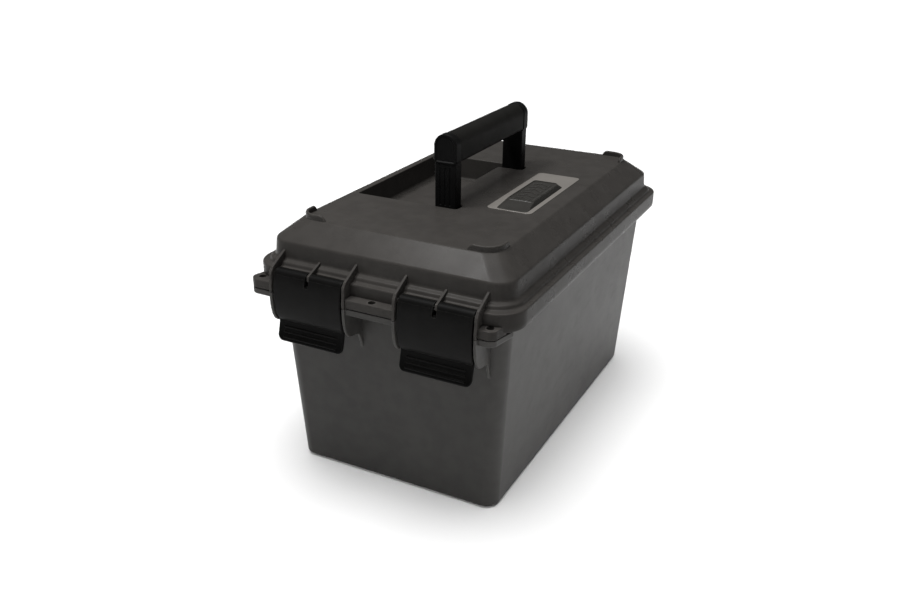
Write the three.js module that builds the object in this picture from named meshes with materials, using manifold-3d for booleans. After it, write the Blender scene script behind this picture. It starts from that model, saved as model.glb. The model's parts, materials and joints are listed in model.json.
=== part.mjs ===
// Rigid moulded storage box with a hinged, sealed lid, two over-centre latches and a fold-down handle.
// Millimetres, +Z up, origin at the centre of the base, at the undersides of the feet.
// The latches are at the short -Y end, the lid hinges are at the +Y end.
import * as THREE from 'three';
import { mergeVertices } from 'three/addons/utils/BufferGeometryUtils.js';
import Module from 'manifold-3d';

const wasm = await Module();
wasm.setup();

// ---- driving dimensions ----
const GAP = 0.3;                     // clearance between neighbouring pieces
const ARC_DIVISIONS = 3;             // half the number of facets on a plan corner
const ROUND_FACETS = 24;             // facets round pins and bores

// tub
const FOOT_HEIGHT = 2;
const TUB_WALL = 3;
const TUB_FLOOR = 3.5;
const TUB_BASE = { hx: 88, hy: 150.2, r: 11 };      // half width, half length, corner radius at the floor
const TUB_TOP = { hx: 97.5, hy: 159.5, r: 14 };     // the same just under the rim flange
const FLANGE_BOTTOM_Z = 161;
const FLANGE_TOP_Z = 163.7;
const FLANGE = { hx: 106.2, hy: 168.5, r: 19.4 };
const TONGUE_TOP_Z = 167;
const TONGUE_OUTER = { hx: 104, hy: 163.6, r: 18 };
const TONGUE_INNER = { hx: 101.2, hy: 160.8, r: 15.2 };
const FOOT_SIZE = 24;
const FOOT_INSET = 2.4;

// lid
const LID_BOTTOM_Z = FLANGE_TOP_Z + GAP;            // underside that rests on the flange
const SKIRT_BOTTOM_Z = 160.9;                       // lower edge of the skirt that hides the flange
const SKIRT_GAP = 0.5;
const BAND = { hx: 109, hy: 171.5, r: 22 };
const BAND_TOP_Z = 175.4;
const WALL_LOW = { hx: 100.2, hy: 162, r: 16 };
const WALL_LOW_Z = 180;
const WALL_HIGH = { hx: 99.4, hy: 161.1, r: 16 };
const WALL_HIGH_Z = 192.7;
const PLATE = { hx: 82.8, hy: 144.3, r: 14 };
const PLATE_Z = 206.9;
const LID_WALL = 3.2;
const STACK_RIDGE = { height: 3.6, width: 2.4, inset: 0.2, endLeg: 22.6, sideLeg: 20 };

// plain raised panel on the lid top with a wedge-shaped boss on it
const PANEL = { x0: 31, x1: 69, y0: -54.5, y1: 56, height: 0.5 };
const BOSS = { x0: 39, x1: 64.6, y0: -53, y1: 28, height: 4.2, crownY0: -37.5, crownY1: 20.5 };
const LIP_INNER = { hx: 97, hy: 156.2, r: 13 };
const CHANNEL_INNER = { hx: 99.6, hy: 159, r: 14 };
const CHANNEL_OUTER = { hx: 105.6, hy: 165.2, r: 19 };
const CHANNEL_TOP_Z = 172.4;
const SEAL_HEIGHT = 4.5;

// pocket for the folded handle, in the lid top
const POCKET_LEFT_X = -77.3;
const POCKET_RIGHT_X = -9.8;
const POCKET_HALF_Y = 69.6;
const POCKET_FLOOR_Z = 186.4;
const NOTCH_RIGHT_X = 13.2;
const NOTCH_INNER_Y = 57.4;

// handle
const PIVOT_X = 2.5;
const POST_HALF_WIDTH = 9.2;
const PIVOT_Z = PLATE_Z - POST_HALF_WIDTH;
const POST_OUTER_Y = 68.3;
const POST_INNER_Y = 58.6;
const HEAD_HALF_WIDTH = 9.9;
const HEAD_OUTER_Y = 69;
const HEAD_INNER_Y = 60.5;
const HEAD_BOTTOM_Z = 241;
const HANDLE_TOP_Z = 264.5;
const GRIP_RELIEF = 0.4;
const FLUTE = { pitch: 4.2, half: 0.8, depth: 0.5 };
const HANDLE_PIN_HALF = 8.6;
const CORE_RADIUS = 4;
const HANDLE_PIN_RADIUS = 2.5;

// latches, their pins, and the ribs and cheeks on both sides of them
const LATCH_CENTRE_X = 52.8;
const LATCH_HALF_WIDTH = 29.4;
const LATCH_PIN_Y = -174.2;
const LATCH_PIN_Z = 172.3;
const BARREL_RADIUS = 5;
const BARREL_FRONT_Y = LATCH_PIN_Y - BARREL_RADIUS;
const LATCH_PIN_RADIUS = 1.7;
const LATCH_PIN_HALF = 31.9;         // the pins end inside the ribs, in blind bores
const NOTCH_DEPTH = 4.5;             // room for the middle rib in the barrel, below the pin
const NOTCH_CLEARANCE = 0.7;
const LATCH_PLATE = 3;
const LATCH_BOW = 3.2;               // how far the control points of the bowed plate stand in front
const TOE_Y = -177.6;                // lower end of the plate, where the pull tab starts
const TOE_Z = 136.5;
const TAB_HALF_WIDTH = 29.2;
const TAB_FLARE = 3.2;               // how far the lip of the tab stands in front of the toe
const TAB_BOTTOM_Z = 120.4;
const TAB_CORNER = 5;
const RECESS_Y = -168.6;
const RIB_X = [20.8, 84.6];
const RIB_THICKNESS = 2.2;
const RIB_TOP_Z = 187.4;
const MIDDLE_RIB_THICKNESS = 2;
const MIDDLE_RIB_TOP_Z = 183;
const FRONT_Y = -181.6;
const CHEEK_TOE = { y: -172.5, z: 133.6 };
const CHEEK_NOTCH = { y: -162, z: 132.4 };
const GUSSET_BOTTOM_Z = 116.5;
const CATCH_FRONT_Y = -172.4;
const CATCH_BOTTOM_Z = 158;

// shelves between the latches, on the lid and on the tub, with one hole through both
const SHELF_FRONT_Y = -180;
const SHELF_HOLE_Y = -175.2;
const SHELF_HOLE_RADIUS = 3;
const LID_SHELF_TOP_Z = 166;
const LID_SHELF_BOTTOM_Z = 159;
const TUB_SHELF_TOP_Z = 158.6;
const TUB_SHELF_BOTTOM_Z = 154;

// padlock ears at the front corners, on the lid and on the tub, each pair with one hole
const EARS = [{ x: -98.5, y: -171.6, radius: 7.5 }, { x: 92, y: -173.2, radius: 6 }];
const EAR_HOLE_RADIUS = 3;

// rear hinges
const HINGE_CENTRE_X = 55;
const HINGE_Y = 176.8;
const HINGE_Z = 158.5;
const KNUCKLE_RADIUS = -FRONT_Y - HINGE_Y;
const LID_KNUCKLE = 17;
const TUB_KNUCKLE = 11;
const HINGE_PIN_RADIUS = 1.9;

// ---- materials ----
const plastic = (color, roughness) => new THREE.MeshStandardMaterial({ color, roughness, metalness: 0 });
const shellMaterial = () => plastic(0x4a4743, 0.45);
const blackMaterial = () => plastic(0x1a1a1a, 0.5);
const gripMaterial = () => plastic(0x262524, 0.65);
const rubberMaterial = () => plastic(0x111111, 0.9);
const steelMaterial = () => new THREE.MeshStandardMaterial({ color: 0x9a9a98, roughness: 0.35, metalness: 1 });

// ---- solids from three.js geometry ----
const solid = (geometry) => {
  const bare = geometry.clone();
  bare.deleteAttribute('normal');
  bare.deleteAttribute('uv');
  const merged = mergeVertices(bare, 1e-4);
  return new wasm.Manifold(new wasm.Mesh({
    numProp: 3,
    vertProperties: new Float32Array(merged.attributes.position.array),
    triVerts: new Uint32Array(merged.index.array),
  }));
};

const union = (solids) => solids.reduce((whole, next) => whole.add(next));

const cut = (body, tools) => tools.reduce((rest, tool) => rest.subtract(tool), body);

const block = (x0, x1, y0, y1, z0, z1) => {
  const box = new THREE.BoxGeometry(x1 - x0, y1 - y0, z1 - z0);
  box.translate((x0 + x1) / 2, (y0 + y1) / 2, (z0 + z1) / 2);
  return solid(box);
};

// rod along X or Y between two ends
const rodX = (x0, x1, y, z, radius) => {
  const rod = new THREE.CylinderGeometry(radius, radius, x1 - x0, ROUND_FACETS);
  rod.rotateZ(Math.PI / 2);
  rod.translate((x0 + x1) / 2, y, z);
  return solid(rod);
};

const rodY = (x, y0, y1, z, radius) => {
  const rod = new THREE.CylinderGeometry(radius, radius, y1 - y0, ROUND_FACETS);
  rod.translate(x, (y0 + y1) / 2, z);
  return solid(rod);
};

const rodZ = (x, y, z0, z1, radius) => {
  const rod = new THREE.CylinderGeometry(radius, radius, z1 - z0, ROUND_FACETS);
  rod.rotateX(Math.PI / 2);
  rod.translate(x, y, (z0 + z1) / 2);
  return solid(rod);
};

const roundedRectangle = ({ hx, hy, r }) => {
  const shape = new THREE.Shape();
  shape.absarc(hx - r, hy - r, r, 0, Math.PI / 2);
  shape.absarc(r - hx, hy - r, r, Math.PI / 2, Math.PI);
  shape.absarc(r - hx, r - hy, r, Math.PI, 1.5 * Math.PI);
  shape.absarc(hx - r, r - hy, r, 1.5 * Math.PI, 2 * Math.PI);
  return shape;
};

const grown = ({ hx, hy, r }, by) => ({ hx: hx + by, hy: hy + by, r: r + by });

const between = (low, high, t) => ({
  hx: THREE.MathUtils.lerp(low.hx, high.hx, t),
  hy: THREE.MathUtils.lerp(low.hy, high.hy, t),
  r: THREE.MathUtils.lerp(low.r, high.r, t),
});

// closed body through rounded rectangles at rising heights: [[z, plan], ...]
const loft = (sections) => {
  const rings = sections.map(([, plan]) => {
    const points = roundedRectangle(plan).getPoints(ARC_DIVISIONS);
    points.pop();
    return points;
  });
  const count = rings[0].length;
  const positions = rings.flatMap((ring, level) => ring.flatMap((p) => [p.x, p.y, sections[level][0]]));
  const index = [];
  for (let level = 0; level + 1 < rings.length; level += 1) {
    for (let i = 0; i < count; i += 1) {
      const a = level * count + i;
      const b = level * count + ((i + 1) % count);
      index.push(a, b, b + count, a, b + count, a + count);
    }
  }
  const top = (rings.length - 1) * count;
  for (let i = 1; i + 1 < count; i += 1) {
    index.push(0, i + 1, i);
    index.push(top, top + i, top + i + 1);
  }
  const geometry = new THREE.BufferGeometry();
  geometry.setAttribute('position', new THREE.Float32BufferAttribute(positions, 3));
  geometry.setIndex(index);
  return solid(geometry);
};

const prism = (plan, z0, z1) => loft([[z0, plan], [z1, plan]]);

const ring = (outer, inner, z0, z1) => prism(outer, z0, z1).subtract(prism(inner, z0 - 1, z1 + 1));

const extruded = (shape, depth, basis) => {
  const geometry = new THREE.ExtrudeGeometry(shape, { depth, bevelEnabled: false, curveSegments: 8 });
  geometry.applyMatrix4(basis);
  return solid(geometry);
};

const AXIS_X = new THREE.Vector3(1, 0, 0);
const AXIS_Y = new THREE.Vector3(0, 1, 0);
const AXIS_Z = new THREE.Vector3(0, 0, 1);
const PROFILE_YZ = new THREE.Matrix4().makeBasis(AXIS_Y, AXIS_Z, AXIS_X);
const PROFILE_XZ = new THREE.Matrix4().makeBasis(AXIS_X, AXIS_Z, AXIS_Y.clone().negate());

// plate of a (y, z) outline, from x0 to x1
const plateX = (shape, x0, x1) => extruded(shape, x1 - x0, PROFILE_YZ).translate([x0, 0, 0]);

// bar of an (x, z) outline, from y0 to y1
const barY = (shape, y0, y1) => extruded(shape, y1 - y0, PROFILE_XZ).translate([0, y1, 0]);

const polygon = (points) => new THREE.Shape(points.map(([a, b]) => new THREE.Vector2(a, b)));

const group = new THREE.Group();

const addNode = (name, body, material) => {
  const { vertProperties, triVerts } = body.getMesh();
  const geometry = new THREE.BufferGeometry();
  geometry.setAttribute('position', new THREE.BufferAttribute(vertProperties, 3));
  geometry.setIndex(new THREE.BufferAttribute(triVerts, 1));
  geometry.computeVertexNormals();
  const mesh = new THREE.Mesh(geometry, material);
  mesh.name = name;
  group.add(mesh);
};

const SIDES = [['left', -1], ['right', 1]];
const ENDS = [['front', -1], ['rear', 1]];

// ---- tub ----
const tubOutline = (z) => between(TUB_BASE, TUB_TOP, (z - FOOT_HEIGHT) / (FLANGE_BOTTOM_Z - FOOT_HEIGHT));

const tubShell = () => {
  const edge = 2;
  const floorZ = FOOT_HEIGHT + TUB_FLOOR;
  const outside = loft([
    [FOOT_HEIGHT, grown(TUB_BASE, -edge)],
    [FOOT_HEIGHT + edge, tubOutline(FOOT_HEIGHT + edge)],
    [FLANGE_BOTTOM_Z + 1, TUB_TOP],
  ]);
  const inside = loft([
    [floorZ, grown(tubOutline(floorZ), -TUB_WALL - edge)],
    [floorZ + edge, grown(tubOutline(floorZ + edge), -TUB_WALL)],
    [FLANGE_TOP_Z + 1, grown(TUB_TOP, -TUB_WALL)],
  ]);
  const rim = prism(FLANGE, FLANGE_BOTTOM_Z, FLANGE_TOP_Z);
  const tongue = ring(TONGUE_OUTER, TONGUE_INNER, FLANGE_TOP_Z - 1, TONGUE_TOP_Z);
  return outside.add(rim).subtract(inside).add(tongue);
};

const feet = () => {
  const outer = grown(TUB_BASE, -FOOT_INSET);
  const pads = prism(outer, 0, FOOT_HEIGHT + 1);
  const keepX = outer.hx - FOOT_SIZE;
  const keepY = outer.hy - FOOT_SIZE;
  return cut(pads, [
    block(-keepX, keepX, -TUB_BASE.hy, TUB_BASE.hy, -1, FOOT_HEIGHT + 2),
    block(-TUB_BASE.hx, TUB_BASE.hx, -keepY, keepY, -1, FOOT_HEIGHT + 2),
  ]);
};

// cheek beside a latch: a deep plate with a rounded toe, then a thin rib that tapers down the wall
const cheekOutline = () => {
  const rootY = -TUB_TOP.hy + 2.5;
  const shape = new THREE.Shape();
  shape.moveTo(rootY, TUB_SHELF_TOP_Z);
  shape.lineTo(FRONT_Y, TUB_SHELF_TOP_Z);
  shape.lineTo(FRONT_Y, TUB_SHELF_TOP_Z - 4);
  shape.bezierCurveTo(FRONT_Y, 145, CHEEK_TOE.y - 7, CHEEK_TOE.z + 1, CHEEK_TOE.y, CHEEK_TOE.z);
  shape.lineTo(CHEEK_NOTCH.y - 3, CHEEK_NOTCH.z);
  shape.quadraticCurveTo(CHEEK_NOTCH.y, CHEEK_NOTCH.z, CHEEK_NOTCH.y + 1.5, CHEEK_NOTCH.z - 5);
  shape.lineTo(rootY, GUSSET_BOTTOM_Z);
  return shape;
};

const cheeks = () => SIDES.flatMap(([, side]) => RIB_X.map((x) => {
  const middle = side * x;
  return plateX(cheekOutline(), middle - RIB_THICKNESS / 2, middle + RIB_THICKNESS / 2);
}));

const catches = () => SIDES.map(([, side]) => {
  const x = side * LATCH_CENTRE_X;
  const half = (RIB_X[1] - RIB_X[0] - RIB_THICKNESS) / 2 - 2 * GAP;
  return block(x - half, x + half, CATCH_FRONT_Y, -TUB_TOP.hy + 2, CATCH_BOTTOM_Z, FLANGE_TOP_Z);
});

const shelfHole = () => rodZ(0, SHELF_HOLE_Y, TUB_SHELF_BOTTOM_Z - 1, LID_SHELF_TOP_Z + 1, SHELF_HOLE_RADIUS);

const tubShelf = () => {
  const half = RIB_X[0];
  const ledge = block(-half, half, SHELF_FRONT_Y, -TUB_TOP.hy + 2, TUB_SHELF_BOTTOM_Z, TUB_SHELF_TOP_Z);
  return ledge.subtract(shelfHole());
};

// plan of an ear: a round end and a web that runs back along the corner
const ear = ({ x, y, radius }, z0, z1) => {
  const side = Math.sign(x);
  const inner = side * RIB_X[1];
  const outline = polygon([
    [inner, y - radius],
    [x, y - radius],
    [x + side * radius, y],
    [side * (TUB_TOP.hx + 4), -TUB_TOP.hy + 4],
    [side * (TUB_TOP.hx - 1), -TUB_TOP.hy + 12],
    [side * (TUB_TOP.hx - 8), -TUB_TOP.hy + 5],
    [inner, -TUB_TOP.hy + 2],
  ]);
  const web = extruded(outline, z1 - z0, new THREE.Matrix4());
  return rodZ(x, y, z0, z1, radius).add(web.translate([0, 0, z0]));
};

const earHoles = () => EARS.map(({ x, y }) => (
  rodZ(x, y, TUB_SHELF_BOTTOM_Z - 1, LID_SHELF_TOP_Z + 1, EAR_HOLE_RADIUS)));

const tubEars = () => EARS.map((place) => ear(place, TUB_SHELF_BOTTOM_Z, TUB_SHELF_TOP_Z));

const knuckle = (x0, x1) => rodX(x0, x1, HINGE_Y, HINGE_Z, KNUCKLE_RADIUS);

const hingeBore = () => SIDES.map(([, side]) => {
  const x = side * HINGE_CENTRE_X;
  return rodX(x - 40, x + 40, HINGE_Y, HINGE_Z, HINGE_PIN_RADIUS + GAP);
});

const tubHinges = () => SIDES.flatMap(([, side]) => [-1, 1].map((end) => {
  const near = side * HINGE_CENTRE_X + end * (LID_KNUCKLE / 2 + GAP * 2);
  const far = near + end * TUB_KNUCKLE;
  const [x0, x1] = [Math.min(near, far), Math.max(near, far)];
  const arm = polygon([
    [TUB_TOP.hy - 4, SKIRT_BOTTOM_Z - 2 * GAP],
    [TUB_TOP.hy - 4, 140],
    [HINGE_Y, HINGE_Z - KNUCKLE_RADIUS],
    [HINGE_Y, SKIRT_BOTTOM_Z - 2 * GAP],
  ]);
  return plateX(arm, x0, x1).add(knuckle(x0, x1));
}));

const makeTub = () => {
  const features = [feet(), ...cheeks(), ...catches(), tubShelf(), ...tubEars(), ...tubHinges()];
  return cut(union([tubShell(), ...features]), [...earHoles(), ...hingeBore()]);
};

// ---- lid ----
const lidShell = () => {
  const outside = loft([
    [SKIRT_BOTTOM_Z, grown(BAND, -0.8)],
    [LID_BOTTOM_Z, BAND],
    [BAND_TOP_Z - 1.5, BAND],
    [BAND_TOP_Z, grown(BAND, -1.5)],
    [BAND_TOP_Z + 0.4, grown(WALL_LOW, 4.6)],
    [BAND_TOP_Z + 2.4, grown(WALL_LOW, 3.4)],
    [WALL_LOW_Z, WALL_LOW],
    [WALL_HIGH_Z, WALL_HIGH],
    [PLATE_Z, PLATE],
  ]);
  const inside = loft([
    [LID_BOTTOM_Z - 1, LIP_INNER],
    [BAND_TOP_Z, LIP_INNER],
    [BAND_TOP_Z + 2, grown(WALL_LOW, -LID_WALL)],
    [WALL_HIGH_Z - 1, grown(WALL_HIGH, -LID_WALL)],
    [PLATE_Z - LID_WALL, grown(PLATE, -1.5)],
  ]);
  const channel = ring(CHANNEL_OUTER, CHANNEL_INNER, LID_BOTTOM_Z - 1, CHANNEL_TOP_Z);
  return cut(outside, [inside, channel]);
};

// room for the flange of the tub inside the skirt
const flangeRoom = () => prism(grown(FLANGE, SKIRT_GAP), SKIRT_BOTTOM_Z - 4, LID_BOTTOM_Z);

// the plan of the pocket, each wall moved outwards by grow, from z0 to z1
const pocket = (grow, z0, z1) => {
  const notches = ENDS.map(([, end]) => {
    const a = end * (NOTCH_INNER_Y - grow);
    const b = end * (POCKET_HALF_Y + grow);
    return block(POCKET_RIGHT_X - 4, NOTCH_RIGHT_X + grow, Math.min(a, b), Math.max(a, b), z0, z1);
  });
  const halfY = POCKET_HALF_Y + grow;
  const main = block(POCKET_LEFT_X - grow, POCKET_RIGHT_X + grow, -halfY, halfY, z0, z1);
  return union([main, ...notches]);
};

// ridges that follow the corners of the lid top, so that boxes stack
const stackingRidges = () => {
  const { height, width, inset, endLeg, sideLeg } = STACK_RIDGE;
  const outer = grown(PLATE, -inset);
  const band = ring(outer, grown(outer, -width), PLATE_Z - 1, PLATE_Z + height);
  const clearX = outer.hx - endLeg;
  const clearY = outer.hy - sideLeg;
  return cut(band, [
    block(-clearX, clearX, -BAND.hy, BAND.hy, PLATE_Z - 2, PLATE_Z + height + 1),
    block(-BAND.hx, BAND.hx, -clearY, clearY, PLATE_Z - 2, PLATE_Z + height + 1),
  ]);
};

const badge = () => {
  const panel = block(PANEL.x0, PANEL.x1, PANEL.y0, PANEL.y1, PLATE_Z - 1, PLATE_Z + PANEL.height);
  const wedge = polygon([
    [BOSS.y0, PLATE_Z - 1],
    [BOSS.y1, PLATE_Z - 1],
    [BOSS.crownY1, PLATE_Z + BOSS.height],
    [BOSS.crownY0, PLATE_Z + BOSS.height],
    [BOSS.y0, PLATE_Z + PANEL.height],
  ]);
  return panel.add(plateX(wedge, BOSS.x0, BOSS.x1));
};

// gusset on the front wall that carries a latch pin
const ribOutline = () => polygon([
  [-WALL_LOW.hy + 2, RIB_TOP_Z],
  [BARREL_FRONT_Y + 1.6, BAND_TOP_Z + 3],
  [BARREL_FRONT_Y - 1.4, BAND_TOP_Z - 1],
  [FRONT_Y + 0.8, BAND_TOP_Z - 7],
  [FRONT_Y, LID_BOTTOM_Z],
  [FRONT_Y, LID_SHELF_BOTTOM_Z],
  [-FLANGE.hy, LID_SHELF_BOTTOM_Z],
  [-FLANGE.hy, LID_BOTTOM_Z],
  [-CHANNEL_OUTER.hy - 2, LID_BOTTOM_Z],
  [-CHANNEL_OUTER.hy - 2, BAND_TOP_Z],
  [-WALL_LOW.hy + 2, WALL_LOW_Z],
]);

const middleRibOutline = () => polygon([
  [-WALL_LOW.hy + 2, MIDDLE_RIB_TOP_Z],
  [LATCH_PIN_Y - 3, BAND_TOP_Z + 1],
  [LATCH_PIN_Y - 3.6, BAND_TOP_Z - 3],
  [LATCH_PIN_Y, BAND_TOP_Z - 6.4],
  [RECESS_Y + 1, BAND_TOP_Z - 8.4],
  [RECESS_Y + 1, BAND_TOP_Z - 1],
  [-WALL_LOW.hy + 2, WALL_LOW_Z - 2],
]);

const lidRibs = () => SIDES.flatMap(([, side]) => {
  const outer = RIB_X.map((x) => {
    const middle = side * x;
    return plateX(ribOutline(), middle - RIB_THICKNESS / 2, middle + RIB_THICKNESS / 2);
  });
  const x = side * LATCH_CENTRE_X;
  const half = MIDDLE_RIB_THICKNESS / 2;
  return [...outer, plateX(middleRibOutline(), x - half, x + half)];
});

const latchRecesses = () => SIDES.map(([, side]) => {
  const x = side * LATCH_CENTRE_X;
  const half = LATCH_HALF_WIDTH + 1.4;
  return block(x - half, x + half, -BAND.hy - 1, RECESS_Y, SKIRT_BOTTOM_Z - 1, WALL_LOW_Z);
});

const lidShelf = () => {
  const half = RIB_X[0];
  return block(-half, half, SHELF_FRONT_Y, -BAND.hy + 3, LID_SHELF_BOTTOM_Z, LID_SHELF_TOP_Z).subtract(shelfHole());
};

const lidEars = () => EARS.map((place) => (
  ear(place, LID_SHELF_BOTTOM_Z, LID_SHELF_TOP_Z).subtract(prism(CHANNEL_OUTER, LID_BOTTOM_Z, BAND_TOP_Z))));

const lidHinges = () => SIDES.map(([, side]) => {
  const x0 = side * HINGE_CENTRE_X - LID_KNUCKLE / 2;
  const x1 = x0 + LID_KNUCKLE;
  const arm = polygon([
    [HINGE_Y - 2, HINGE_Z],
    [-FRONT_Y, HINGE_Z],
    [-FRONT_Y, HINGE_Z + 8],
    [BAND.hy - 1, BAND_TOP_Z - 2],
    [BAND.hy - 1, LID_BOTTOM_Z],
    [HINGE_Y - 2, LID_BOTTOM_Z],
  ]);
  return plateX(arm, x0, x1).add(knuckle(x0, x1));
});

const latchPinBore = (side) => {
  const x = side * LATCH_CENTRE_X;
  const half = LATCH_PIN_HALF + GAP;
  return rodX(x - half, x + half, LATCH_PIN_Y, LATCH_PIN_Z, LATCH_PIN_RADIUS + GAP);
};

const handleBores = () => ENDS.map(([, end]) => {
  const y = end * (POST_OUTER_Y + POST_INNER_Y) / 2;
  const half = HANDLE_PIN_HALF + 2 * GAP;
  return rodY(PIVOT_X, y - half, y + half, PIVOT_Z, HANDLE_PIN_RADIUS + GAP);
});

const makeLid = () => {
  const body = cut(lidShell(), latchRecesses());
  const pocketWalls = pocket(LID_WALL, POCKET_FLOOR_Z - LID_WALL, PLATE_Z - 1);
  const frontParts = [lidShelf(), ...lidEars(), ...lidRibs()];
  const features = [pocketWalls, stackingRidges(), badge(), ...frontParts, ...lidHinges()];
  return cut(union([body, ...features]), [
    flangeRoom(),
    ...earHoles(),
    pocket(0, POCKET_FLOOR_Z, PLATE_Z + 10),
    ...handleBores(),
    ...SIDES.map(([, side]) => latchPinBore(side)),
    ...hingeBore(),
  ]);
};

const makeSeal = () => {
  const outer = grown(CHANNEL_OUTER, -GAP);
  const inner = grown(CHANNEL_INNER, GAP);
  const top = CHANNEL_TOP_Z - GAP;
  return ring(outer, inner, top - SEAL_HEIGHT, top);
};

// ---- latch ----
// barrel side, bowed plate and flared pull tab in one (y, z) outline
const latchOutline = () => {
  const bowHighZ = 164;
  const bowLowZ = 148;
  const backY = BARREL_FRONT_Y + LATCH_PLATE;
  const shape = new THREE.Shape();
  shape.moveTo(BARREL_FRONT_Y, LATCH_PIN_Z);
  shape.bezierCurveTo(BARREL_FRONT_Y - LATCH_BOW, bowHighZ, BARREL_FRONT_Y - LATCH_BOW, bowLowZ, TOE_Y, TOE_Z);
  shape.lineTo(TOE_Y + 1, TOE_Z - 1.2);
  shape.lineTo(TOE_Y - TAB_FLARE, TAB_BOTTOM_Z + 0.8);
  shape.lineTo(TOE_Y - TAB_FLARE + 2.2, TAB_BOTTOM_Z);
  shape.lineTo(TOE_Y + 4, TOE_Z - 2);
  shape.bezierCurveTo(backY - LATCH_BOW + 0.4, bowLowZ, backY - LATCH_BOW + 0.4, bowHighZ, backY, LATCH_PIN_Z);
  return shape;
};

// front silhouette: full width at the plate, narrower at the tab, with round lower corners
const latchSilhouette = (x) => {
  const shape = new THREE.Shape();
  shape.moveTo(x - LATCH_HALF_WIDTH, LATCH_PIN_Z + 10);
  shape.lineTo(x - LATCH_HALF_WIDTH, TOE_Z + 10);
  shape.lineTo(x - TAB_HALF_WIDTH, TOE_Z);
  shape.absarc(x - TAB_HALF_WIDTH + TAB_CORNER, TAB_BOTTOM_Z + TAB_CORNER, TAB_CORNER, Math.PI, 1.5 * Math.PI);
  shape.absarc(x + TAB_HALF_WIDTH - TAB_CORNER, TAB_BOTTOM_Z + TAB_CORNER, TAB_CORNER, 1.5 * Math.PI, 2 * Math.PI);
  shape.lineTo(x + TAB_HALF_WIDTH, TOE_Z);
  shape.lineTo(x + LATCH_HALF_WIDTH, TOE_Z + 10);
  shape.lineTo(x + LATCH_HALF_WIDTH, LATCH_PIN_Z + 10);
  return shape;
};

// catch rib on the back of the plate, just in front of the ledge on the tub
const hookOutline = () => polygon([
  [TOE_Y - 1, CATCH_BOTTOM_Z],
  [CATCH_FRONT_Y - GAP, CATCH_BOTTOM_Z - 1],
  [CATCH_FRONT_Y - GAP, CATCH_BOTTOM_Z - 3.4],
  [TOE_Y - 1, CATCH_BOTTOM_Z - 7.5],
]);

const makeLatch = (side) => {
  const x = side * LATCH_CENTRE_X;
  const x0 = x - LATCH_HALF_WIDTH;
  const x1 = x + LATCH_HALF_WIDTH;
  const barrel = rodX(x0, x1, LATCH_PIN_Y, LATCH_PIN_Z, BARREL_RADIUS);
  const plate = plateX(latchOutline(), x0, x1);
  const hook = plateX(hookOutline(), x0 + 3, x1 - 3);
  const gripRidges = [0, 1, 2].map((i) => {
    const z = TAB_BOTTOM_Z + 3.6 + 4 * i;
    return block(x0 + 6, x1 - 6, TOE_Y - TAB_FLARE + 0.4 + 1.2 * i, TOE_Y + 2, z, z + 1.6);
  });
  const silhouette = barY(latchSilhouette(x), FRONT_Y, LATCH_PIN_Y + BARREL_RADIUS + 1);
  const notchHalf = MIDDLE_RIB_THICKNESS / 2 + NOTCH_CLEARANCE;
  const notchBottom = LATCH_PIN_Z - NOTCH_DEPTH;
  const notch = block(x - notchHalf, x + notchHalf, FRONT_Y, RECESS_Y + 2, notchBottom, LATCH_PIN_Z + 8);
  const body = union([barrel, plate, hook, ...gripRidges]).intersect(silhouette);
  return cut(body, [latchPinBore(side), notch]);
};

// ---- handle ----
// flat-bottomed section with a round top, growing by a given amount
const gripOutline = (grow) => {
  const half = HEAD_HALF_WIDTH + grow;
  const shape = new THREE.Shape();
  const springZ = HANDLE_TOP_Z - HEAD_HALF_WIDTH;
  const foot = 3;
  shape.moveTo(PIVOT_X - half + foot, HEAD_BOTTOM_Z - grow);
  shape.lineTo(PIVOT_X + half - foot, HEAD_BOTTOM_Z - grow);
  shape.lineTo(PIVOT_X + half, HEAD_BOTTOM_Z - grow + foot);
  shape.absarc(PIVOT_X, springZ, half, 0, Math.PI);
  shape.lineTo(PIVOT_X - half, HEAD_BOTTOM_Z - grow + foot);
  return shape;
};

const postOutline = () => {
  const shape = new THREE.Shape();
  shape.moveTo(PIVOT_X + POST_HALF_WIDTH, HEAD_BOTTOM_Z + 4);
  shape.lineTo(PIVOT_X - POST_HALF_WIDTH, HEAD_BOTTOM_Z + 4);
  shape.absarc(PIVOT_X, PIVOT_Z, POST_HALF_WIDTH, Math.PI, 2 * Math.PI);
  return shape;
};

const spanY = (end, a, b) => [Math.min(end * a, end * b), Math.max(end * a, end * b)];

const CORE_Z = (HEAD_BOTTOM_Z + HANDLE_TOP_Z) / 2 + 1;
const CORE_END_Y = HEAD_OUTER_Y - 2.5;

const makePost = (end) => {
  const post = barY(postOutline(), ...spanY(end, POST_INNER_Y, POST_OUTER_Y));
  const head = barY(gripOutline(0), ...spanY(end, HEAD_INNER_Y, HEAD_OUTER_Y));
  const socket = rodY(PIVOT_X, -CORE_END_Y - GAP, CORE_END_Y + GAP, CORE_Z, CORE_RADIUS + GAP);
  const flutes = [-1, 0, 1].map((i) => {
    const [y0, y1] = spanY(end, POST_OUTER_Y - FLUTE.depth, POST_OUTER_Y + 1);
    const x = PIVOT_X + i * FLUTE.pitch;
    return block(x - FLUTE.half, x + FLUTE.half, y0, y1, PLATE_Z + 3, HEAD_BOTTOM_Z - 3);
  });
  const inner = barY(postOutline(), ...spanY(end, HEAD_INNER_Y - 6, HEAD_INNER_Y));
  const grip = block(PIVOT_X - 20, PIVOT_X + 20, -HEAD_INNER_Y, HEAD_INNER_Y, HEAD_BOTTOM_Z - GAP, 300);
  const body = cut(union([post, head]), [inner.intersect(grip), grip, socket]);
  return cut(body, [...flutes, ...handleBores()]);
};

const makeGrip = () => {
  const end = HEAD_INNER_Y - GAP;
  const body = barY(gripOutline(-GRIP_RELIEF), -end, end);
  return body.subtract(rodY(PIVOT_X, -end - 1, end + 1, CORE_Z, CORE_RADIUS + GAP));
};

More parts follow.
